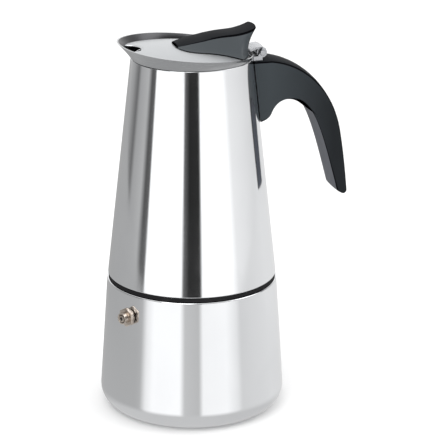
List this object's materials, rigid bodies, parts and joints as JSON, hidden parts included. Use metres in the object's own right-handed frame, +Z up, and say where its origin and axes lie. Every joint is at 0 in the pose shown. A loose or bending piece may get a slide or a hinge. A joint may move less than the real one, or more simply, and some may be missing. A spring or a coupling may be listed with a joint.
{
  "type": "moka pot",
  "caption": "Stove-top coffee pot in polished steel with a screwed collector, hinged lid, black ear handle and safety valve.",
  "frame": {"origin": "centre of the boiler's flat underside, on the pot's axis", "axes": "+Z up along the pot's axis, +X towards the handle, -X towards the pouring lip"},
  "size_m": [0.1346, 0.1, 0.2094],
  "materials": {
    "polished_steel": "polished",
    "brushed_steel": "satin",
    "brass": "satin",
    "black_plastic": "satin",
    "black_rubber": "matt",
    "silicone": "matt"
  },
  "bodies": {
    "boiler": {"boiler_shell": "polished_steel", "valve_body": "brass", "valve_washer": "brass", "valve_nut": "brass", "valve_spring": "brushed_steel", "valve_retainer": "brass"},
    "valve_plunger": {"valve_pin": "brushed_steel"},
    "funnel": {"funnel_cup": "brushed_steel", "funnel_stem": "brushed_steel", "funnel_screen": "brushed_steel"},
    "joint_ring": {"seam_ring": "black_rubber"},
    "filter": {"gasket": "silicone", "filter_plate": "brushed_steel"},
    "collector": {"collector_shell": "polished_steel", "collector_floor": "brushed_steel", "threaded_skirt": "brushed_steel", "column": "brushed_steel", "column_cap": "brushed_steel", "spout_collar": "brushed_steel", "hinge_bracket": "brushed_steel", "hinge_pin": "brushed_steel", "handle": "black_plastic", "handle_tab": "brushed_steel", "handle_screw": "brushed_steel"},
    "lid": {"lid_plate": "brushed_steel", "thumb_lever": "black_plastic", "lever_screw_1": "brushed_steel", "lever_screw_2": "brushed_steel"}
  },
  "joints": [
    {"name": "valve_pop", "type": "slide", "parent": "boiler", "child": "valve_plunger", "axis": [-0.866, -0.5, 0], "range_m": [0, 0.0012], "stiffness_N_per_m": 300, "deforming": ["valve_spring"]},
    {"name": "funnel_lift", "type": "slide", "parent": "boiler", "child": "funnel", "axis": [0, 0, 1], "range_m": [0, 0.085]},
    {"name": "collector_lift", "type": "slide", "parent": "funnel", "child": "joint_ring", "axis": [0, 0, 1], "range_m": [0, 0.04]},
    {"name": "thread_lift", "type": "slide", "parent": "joint_ring", "child": "filter", "axis": [0, 0, 1], "range_m": [0, 0.0038]},
    {"name": "collector_turn", "type": "hinge", "parent": "filter", "child": "collector", "pos_m": [0, 0, 0], "axis": [0, 0, 1], "range_deg": [0, 450]},
    {"name": "lid_hinge", "type": "hinge", "parent": "collector", "child": "lid", "pos_m": [0.0367, 0, 0.1958], "axis": [0, 1, 0], "range_deg": [0, 100]}
  ],
  "couplings": [
    {"joint": "thread_lift", "follows": "collector_turn", "m_per_rad": 0.00047746}
  ]
}
